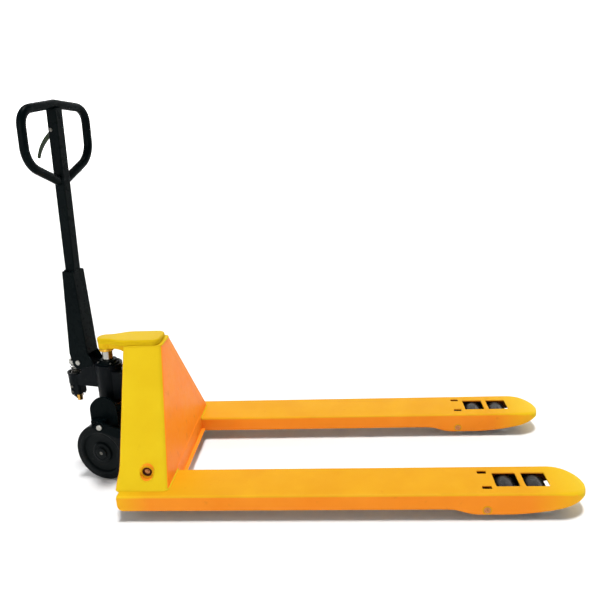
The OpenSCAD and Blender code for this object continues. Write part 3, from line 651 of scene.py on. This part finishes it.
# weld beads of the frame
bm = bmesh.new()
for k in (-1, 1):
    foot = [(-8, FOOT_Y + 0.5), (134, FOOT_Y + 0.5), (144, 309), (149.5, 299), (149.5, 183)]
    bead(bm, [(x, k * y, FORK_TOP + 0.5) for x, y in foot], 2.6)
    ring = []
    for i in range(41):
        g = math.radians(9 * i)
        z = SHAFT[2] + SOCKET_RADIUS * math.sin(g)
        ring.append((SHAFT[0] + SOCKET_RADIUS * math.cos(g), k * (plate_y(z) + 0.2), z))
    bead(bm, ring, 1.5)
    crown = [(-12, 53.5), (85, 53.5), (95, 50), (99, 40), (99, 0)]
    bead(bm, [(x, k * y, HEAD_Z) for x, y in crown], 2.2)
solid("frame_welds", bm, HEEL, YELLOW, "chassis")

# head: thick top, nose over the ram, and the web that carries it
bm = bmesh.new()
outline = ([tuple(p) for p in cubic([(STEER_X, 27), (-66, 27), (-58, 52), (-18, 52)], 12)]
           + arc(66, 28, 24, 90, 0, 10) + arc(66, -28, 24, 0, -90, 10)
           + [tuple(p) for p in cubic([(-18, -52), (-58, -52), (-66, -27), (STEER_X, -27)], 12)]
           + arc(STEER_X, 0, 27, -98, -262, 20))
prism(bm, outline, "z", HEAD_Z - 1, HEAD_Z + 20)
# the head plate takes the darker yellow, painted shade on its lit top
solid("head_plate", bm, HEEL, CROWN_SHADE, "chassis", ["head_cap"], edge=0.006,
      segments=6)
bm = bmesh.new()
prism(bm, rounded(-27, 96, -52.5, 52.5, 8, 5), "z", HEAD_Z - 10, HEAD_Z + 0.5)
solid("head_lid", bm, HEEL, YELLOW, "chassis", edge=0.002, segments=3)
bm = bmesh.new()
lathe(bm, [(443, 0), (443, 23.5), (444.2, 25.2), (446, 26), (472, 26), (472, 0)],
      (STEER_X, 0, 0), "z", 64)
web_edge = cubic([(-78, 443.5), (-54, 443), (-32, 436), (-28, 404)], 10)
web = [(-95, HEAD_Z), (-95, 445)] + [tuple(p) for p in web_edge]
prism(bm, web + [(-14, 402), (-14, HEAD_Z)], "y", -21, 21)
solid("head_web", bm, HEEL, ORANGE, "chassis", edge=0.0025, segments=3)
# inner plate that closes the frame behind the nose
bm = bmesh.new()
prism(bm, [(-48, HEAD_Z), (48, HEAD_Z), (76, 425), (86, 405), (-86, 405), (-76, 425)],
      "x", -17, -11)
solid("head_back", bm, HEEL, ORANGE, "chassis", edge=0.001, segments=2)


# ---- wheels and rollers ----

def steering_wheel(side, word):
    y = side * WHEEL_Y
    bm = bmesh.new()
    lathe(bm, [(-25, 84.6), (-25, 94.5), (-24, 97.2), (-21.5, 99.2), (-18, 100), (18, 100),
               (21.5, 99.2), (24, 97.2), (25, 94.5), (25, 84.6)], (0, y, WHEEL_Z), "y", 128)
    solid(word + "_wheel_ring", bm, STEER, TYRE, word + "_wheel",
          [word + "_wheel_tyre"], sharp=50)
    bm = bmesh.new()
    face = [(24.4, 84.6), (25, 83.6), (24.6, 74.5), (23.4, 72.2), (17, 70.5), (15.6, 68.5),
            (15.6, 38.5), (17, 36), (23.6, 34.6), (24.8, 33.2), (24.8, 26.6), (24.2, 26.1)]
    lathe(bm, face + [(-h, r) for h, r in face[::-1]], (0, y, WHEEL_Z), "y", 128)
    solid(word + "_wheel_rim", bm, STEER, RIM, word + "_wheel",
          [word + "_wheel_hub"], sharp=50)
    bm = bmesh.new()
    for k in (-1, 1):
        lathe(bm, [(k * 9.5, 12.6), (k * 9.5, 26), (k * 23.8, 26), (k * 24.4, 25.2),
                   (k * 24.4, 22.6), (k * 23.4, 22.2), (k * 23.4, 17.2), (k * 24.4, 16.8),
                   (k * 24.4, 13.4), (k * 23.8, 12.6)], (0, y, WHEEL_Z), "y", 64)
    solid(word + "_wheel_races", bm, STEER, RIM, word + "_wheel",
          [word + "_wheel_bearings"], sharp=50)


for side, word in SIDES:
    steering_wheel(side, word)

bm = bmesh.new()
bar(bm, (0, 0, WHEEL_Z), "y", 12.5, -106, 106, 1.5)
solid("axle_turned", bm, STEER, TURNED, "pump_unit", ["steering_axle"])
bm = bmesh.new()
for k in (-1, 1):
    lathe(bm, [(k * 103, 12.6), (k * 103, 20), (k * 105.2, 20), (k * 106.2, 19), (k * 107, 14),
               (k * 107, 6.6), (k * 106.1, 6.2), (k * 106.1, 12.6)], (0, 0, WHEEL_Z), "y", 48)
solid("axle_washers", bm, STEER, RIM, "pump_unit", ["axle_caps"])


def load_roller(side, word, place, x):
    here = HEEL @ Matrix.Translation((x, side * FORK_Y, ROLLER_Z))
    body = word + "_" + place + "_roller"
    bm = bmesh.new()
    lathe(bm, [(-35, 31), (-35, 36), (-34.2, 38.4), (-32.4, 39.6), (-30, 40), (30, 40),
               (32.4, 39.6), (34.2, 38.4), (35, 36), (35, 31)], (0, 0, 0), "y", 96)
    solid(body + "_sleeve", bm, here, ROLLER, body, [body + "_tyre"], sharp=50)
    bm = bmesh.new()
    face = [(34.6, 31), (34.6, 27.5), (33.4, 26.5), (33.4, 22), (34.2, 21.4), (34.2, 17.6),
            (33.2, 17), (33.2, 13.4), (34, 12.8), (34, 10.1)]
    lathe(bm, face + [(-h, r) for h, r in face[::-1]], (0, 0, 0), "y", 64)
    solid(body + "_turned", bm, here, TURNED, body, [body + "_core"], sharp=50)


for side, word in SIDES:
    for place, x in ROLLERS:
        load_roller(side, word, place, x)


# ---- handle ----

# loop of round bar
LOOP_BAR = 14
HALF, TOPZ = 154, 1251 - LOOP_BAR - HINGE_Z  # middle of the bar, from the handle's hinge
corners = [(0, 0), (HALF, -16), (HALF, -171), (15, -236)]


def bend(a, b, c, reach, n):
    """A round corner at b, between a and c."""
    a, b, c = Vector(a), Vector(b), Vector(c)
    p = b + (a - b).normalized() * reach
    q = b + (c - b).normalized() * reach
    return cubic([p, p.lerp(b, 0.6), q.lerp(b, 0.6), q], n)


right_half = ([Vector(corners[0])] + bend(corners[0], corners[1], corners[2], 46, 14)
              + bend(corners[1], corners[2], corners[3], 50, 16) + [Vector(corners[3])])
line = [Vector((-p.x, p.y)) for p in right_half[:0:-1]] + right_half
bm = bmesh.new()
sweep(bm, [(0, p.x, TOPZ + p.y) for p in line], LOOP_BAR, 32)
solid("loop_bar", bm, LEAN, ENAMEL, "handle", ["handle_loop"], sharp=60)

# square tube with round corners and the trigger's slot
bm = bmesh.new()
prism(bm, rounded(-18, 18, -18, 18, 4.5, 5), "z", 250, TOPZ - 13)
tube = solid("square_tube", bm, LEAN, ENAMEL)
bm = bmesh.new()
prism(bm, rounded(-15, 15, -15, 15, 2, 3), "z", 245, TOPZ - 17)
inner = solid("cutter", bm, LEAN, ENAMEL)
bm = bmesh.new()
prism(bm, rounded(-6, 6, 723, 785, 5, 4), "x", -40, 16)
cut(tube, inner, solid("cutter", bm, LEAN, ENAMEL))
stand(tube, "handle", ["handle_tube"], 0.0007)

# folded bracket
bm = bmesh.new()
outline = [(-22, 319), (21, 319), (41, 38), (54, 17), (58, 5), (56, -5), (48, -11), (40, -14)]
outline += arc(0, 0, 25, -45, -180, 12) + [(-33, 30)]
prism(bm, outline, "y", -31, 31)
bracket = solid("folded_bracket", bm, LEAN, ENAMEL)
edges = bracket.modifiers.new("folds", "BEVEL")
edges.width, edges.segments = 0.004, 4
edges.limit_method, edges.angle_limit = "ANGLE", math.radians(60)
settle(bracket)
bm = bmesh.new()
prism(bm, [(-18.2, 330), (18.2, 330), (18.2, 240), (37, 38), (90, 14), (90, -60), (-90, -60),
           (-90, 24), (-29.4, 24)],
      "y", -28, 28)
inside = solid("cutter", bm, LEAN, ENAMEL)
bm = bmesh.new()
bar(bm, (0, 0, 0), "y", 9.05, -60, 60)
bar(bm, CAM_PIN, "y", 5.05, -60, 60)
cut(bracket, inside, solid("cutter", bm, LEAN, ENAMEL))
stand(bracket, "handle", ["handle_bracket"], 0.0006)

# welds of the handle
bm = bmesh.new()
bead(bm, [(-18.5, -18.5, 319.5), (18.5, -18.5, 319.5), (18.5, 18.5, 319.5), (-18.5, 18.5, 319.5),
          (-18.5, -18.5, 319.5)], 2.6)
for k in (-1, 1):
    bead(bm, [(14, k * 19, TOPZ - 240), (14.5, k * 19, TOPZ - 224)], 2.2)
    bead(bm, [(-14, k * 19, TOPZ - 240), (-14.5, k * 19, TOPZ - 224)], 2.2)
bead(bm, [(-14, -17, TOPZ - 14.6), (-12, 17, TOPZ - 14.6)], 1.8)
bead(bm, [(14, -17, TOPZ - 14.6), (12, 17, TOPZ - 14.6)], 1.8)
solid("handle_welds", bm, LEAN, ENAMEL, "handle")

# pins with turned ends
bm = bmesh.new()
lathe(bm, [(-35, 0), (-35, 7.2), (-34, 8.6), (-32.5, 9), (32.5, 9), (34, 8.6), (35, 7.2), (35, 0)],
      (0, 0, 0), "y", 48)
solid("hinge_turned", bm, LEAN, ZINC, "handle", ["hinge_pin"])
bm = bmesh.new()
lathe(bm, [(-34, 0), (-34, 4), (-33, 4.8), (-32, 5), (32, 5), (33, 4.8), (34, 4), (34, 0)],
      CAM_PIN, "y", 40)
solid("cam_axle", bm, LEAN, ZINC, "handle", ["cam_pin"])
bm = bmesh.new()
bar(bm, TRIGGER_PIN, "y", 3.95, -20, 20, 0.8, 32)
for k in (-1, 1):
    bar(bm, (TRIGGER_PIN[0], k * 19.2, TRIGGER_PIN[2]), "y", 6, -1.2, 1.2, 0.6, 32)
solid("trigger_rivet", bm, LEAN, TURNED, "handle", ["trigger_pin"])

# trigger
bm = bmesh.new()
outer = [tuple(p) for p in cubic([(-8, 4), (-30, -14), (-62, -36), (-76, -84)], 18)]
under = [tuple(p) for p in cubic([(-69, -89), (-56, -50), (-28, -30), (-4, -8)], 18)]
prism(bm, [(6, 5), (-2, 7.5)] + outer + [(-75.5, -87.5), (-72.5, -90)] + under + [(5, -6)],
      "y", -4.5, 4.5)
solid("trigger_lever", bm, LEAN @ Matrix.Translation(TRIGGER_PIN), OLIVE, "trigger",
      ["trigger"], edge=0.0018, segments=3)

# cam roller
bm = bmesh.new()
lathe(bm, [(-15, 5.1), (-15, 10.8), (-14, CAM_RADIUS), (14, CAM_RADIUS), (15, 10.8), (15, 5.1)],
      CAM_PIN, "y", 48)
solid("cam_turned", bm, LEAN, TURNED, "cam_roller", ["cam_roller"], sharp=50)

# pins of the rocker
bm = bmesh.new()
for k in (-1, 1):
    lathe(bm, [(k * 107, 0), (k * 107, 7.4), (k * 108, 8), (k * 140, 8), (k * 140, 9.6),
               (k * 143.6, 9.6), (k * 144.6, 8.8), (k * 145, 7), (k * 145, 0)], PIVOT_PIN, "y", 48)
for k in (-1, 1):
    lathe(bm, [(k * 223, 0), (k * 223, 5.2), (k * 224, 6), (k * 256, 6), (k * 257, 5.2),
               (k * 257, 0)],
          LEVER_PIN, "y", 32)
solid("rocker_turned_pins", bm, HEEL, ZINC, "rocker", ["rocker_pins"])


# ---- pump unit ----

# valve casting below the plunger's housing, with its screws
bm = bmesh.new()
prism(bm, [(-160, -15), (-154, -22), (-124, -22), (-117, -15), (-117, 15), (-124, 22), (-154, 22),
           (-160, 15)], "z", 266, 308)
casting = solid("valve_casting", bm, STEER, CAST)
bm = bmesh.new()
bar(bm, (HOUSING_X, 0, 0), "z", 12.5, 272, 330)
cut(casting, solid("cutter", bm, STEER, CAST))
stand(casting, "pump_unit", edge=0.002, segments=3)
bm = bmesh.new()
for x, y in ((-153, -13), (-153, 13), (-124, 13)):
    bar(bm, (x, y, 0), "z", 4.2, 260, 267, 0.8, 24)
for z in (276, 296):
    bar(bm, (-146, 0, z), "y", 4.0, -25.5, -21, 0.8, 24)
solid("valve_screws", bm, STEER, TURNED, "pump_unit")

# release chain of oval links
bm = bmesh.new()
for i in range(5):
    loop = []
    for k in range(20):
        g = 2 * math.pi * k / 20
        flat = math.cos(g) * 2.6
        tall = math.sin(g) * 2.6 + math.copysign(2.7, math.sin(g))
        z = 331 + 10.5 * i
        loop.append((-96 + flat, 0, z + tall) if i % 2 else (-96, flat, z + tall))
    sweep(bm, loop, 1.0, 8, closed=True)
solid("chain_links", bm, STEER, TURNED, "pump_unit", ["release_chain"])

# gland nut with flats
bm = bmesh.new()
lathe(bm, [(388, 18.1), (388, 36.4), (389, 37), (393, 37), (394, 36), (394, 29.6), (395, 29),
           (400.5, 29), (402, 27.5), (402, 21), (400, 18.1)], (0, 0, 0), "z", 64)
solid("gland_turned", bm, STEER, ENAMEL, "pump_unit", ["gland_nut"], sharp=50)

# ram and its bearing disc
bm = bmesh.new()
lathe(bm, [(272, 0), (272, 17.5), (272.6, 18), (442.4, 18), (443, 17.4), (443, 0)],
      (0, 0, 0), "z", 96)
solid("ram_ground", bm, AXIS, CHROME, "chassis", ["ram"])
bm = bmesh.new()
lathe(bm, [(434, 18.05), (434, 23.8), (435.4, 25), (441, 25), (442.6, 24), (443, 22.5),
           (443, 18.05)], (0, 0, 0), "z", 96)
solid("thrust_washer", bm, AXIS, DISC, "chassis", ["thrust_disc"])

# plunger with its cap
bm = bmesh.new()
top = HINGE_Z + CAM_PIN[2] - CAM_RADIUS - 1.5  # just under the cam roller
lathe(bm, [(318, 0), (318, 10.4), (318.8, 11), (top - 6, 11), (top - 6, 18.8), (top - 5, 20),
           (top - 1.6, 20), (top - 0.4, 19.2), (top, 18), (top, 0)], (HOUSING_X, 0, 0), "z", 64)
solid("plunger_turned", bm, STEER, ZINC, "plunger", ["plunger"], sharp=50)

# screws of the gland, and the filler plug
bm = bmesh.new()
for g in range(4):
    x, y = 33 * math.cos(math.radians(45 + 90 * g)), 33 * math.sin(math.radians(45 + 90 * g))
    lathe(bm, [(393.6, 0), (393.6, 3.6), (396, 3.6), (396.8, 2.9), (396.8, 1.6), (395.6, 1.5),
               (395.6, 0)], (x, y, 0), "z", 24)
solid("gland_screws", bm, STEER, TURNED, "pump_unit", sharp=40)
bm = bmesh.new()
hexagon(bm, (60, 0, 0), "z", 17, 367.5, 377)
bar(bm, (60, 0, 0), "z", 11, 367, 370, 0.6, 32)
solid("filler_plug", bm, STEER, ZINC, "pump_unit", edge=0.0008, segments=2)

for name in ("pump_base", "valve_block"):
    nodes[name].modifiers["edges"].width = 0.0022
    nodes[name].modifiers["edges"].segments = 3
nodes["carrier"].modifiers["edges"].width = 0.0018
nodes["pump_body"].modifiers["edges"].width = 0.0007


# ---- floor, light and camera ----

bm = bmesh.new()
bm.faces.new([bm.verts.new(p) for p in ((-40, -40, 0), (40, -40, 0), (40, 14, 0), (-40, 14, 0))])
FLOOR = surface("studio_floor", (247, 247, 247), (249, 249, 249), 0.6, spread=0.05,
                grain=(60, 0.02), blotch=1.5, specular=0.1)
floor = solid("studio_floor", bm, Matrix.Translation((0, 0, -0.0005)), FLOOR)


def glowing(name, strength):
    """A material that gives off white light."""
    m = bpy.data.materials.new(name)
    m.use_nodes = True
    bsdf = m.node_tree.nodes["Principled BSDF"]
    bsdf.inputs["Emission Color"].default_value = (1, 1, 1, 1)
    bsdf.inputs["Emission Strength"].default_value = strength
    return m


bm = bmesh.new()
bm.faces.new([bm.verts.new(p)
              for p in ((-40, 14, -0.1), (40, 14, -0.1), (40, 14, 16), (-40, 14, 16))])
backdrop = solid("studio_backdrop", bm, Matrix.Identity(4), glowing("backdrop_glow", 0.9))
# white all round for the camera alone, so that it adds no light
bm = bmesh.new()
bmesh.ops.create_uvsphere(bm, u_segments=48, v_segments=24, radius=39)
surround = solid("studio_surround", bm, Matrix.Identity(4), glowing("surround_white", 1.0))
surround.visible_diffuse = False
surround.visible_glossy = False
surround.visible_shadow = False

scene = bpy.context.scene
world = bpy.data.worlds.new("studio")
world.use_nodes = True
world.node_tree.nodes["Background"].inputs["Color"].default_value = (1.0, 1.0, 1.0, 1)
world.node_tree.nodes["Background"].inputs["Strength"].default_value = 0.19
scene.world = world
scene.view_settings.view_transform = "Standard"


def add_light(name, kind, energy, aim, size=None, angle=0.0, place=(0, 0, 3)):
    data = bpy.data.lights.new(name, kind)
    data.energy = energy
    if kind == "SUN":
        data.angle = math.radians(angle)
    else:
        data.shape = "RECTANGLE"
        data.size, data.size_y = size
    lamp = bpy.data.objects.new(name, data)
    lamp.location = place
    lamp.rotation_mode = "QUATERNION"
    lamp.rotation_quaternion = Vector(aim).to_track_quat("-Z", "Y")
    scene.collection.objects.link(lamp)


add_light("key", "SUN", 2.74, (-0.04, -0.03, -1.0), angle=14)
add_light("front", "SUN", 1.6, (0.12, 0.98, -0.09), angle=36)
add_light("strip", "AREA", 9, (1.9, 1.6, -0.9), size=(0.7, 2.4), place=(-2.6, -1.6, 1.5))

# the photo's view, in radians and metres
yaw, pitch, roll = -0.0754, 0.2789, -0.0489
look = Vector((math.sin(yaw) * math.cos(pitch), math.cos(yaw) * math.cos(pitch), -math.sin(pitch)))
right = Vector((math.cos(yaw), -math.sin(yaw), 0))
up = right.cross(look)
right, up = (right * math.cos(roll) + up * math.sin(roll),
             up * math.cos(roll) - right * math.sin(roll))
camera_data = bpy.data.cameras.new("camera")
camera_data.lens = 40.05
camera_data.sensor_width = 36
camera = bpy.data.objects.new("camera", camera_data)
turn = Matrix((right, up, -look)).transposed().to_4x4()
eye = (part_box("left_fork")[0].x + 0.71503, -2.0782, 1.18666)
camera.matrix_world = Matrix.Translation(eye) @ turn
scene.collection.objects.link(camera)
scene.camera = camera
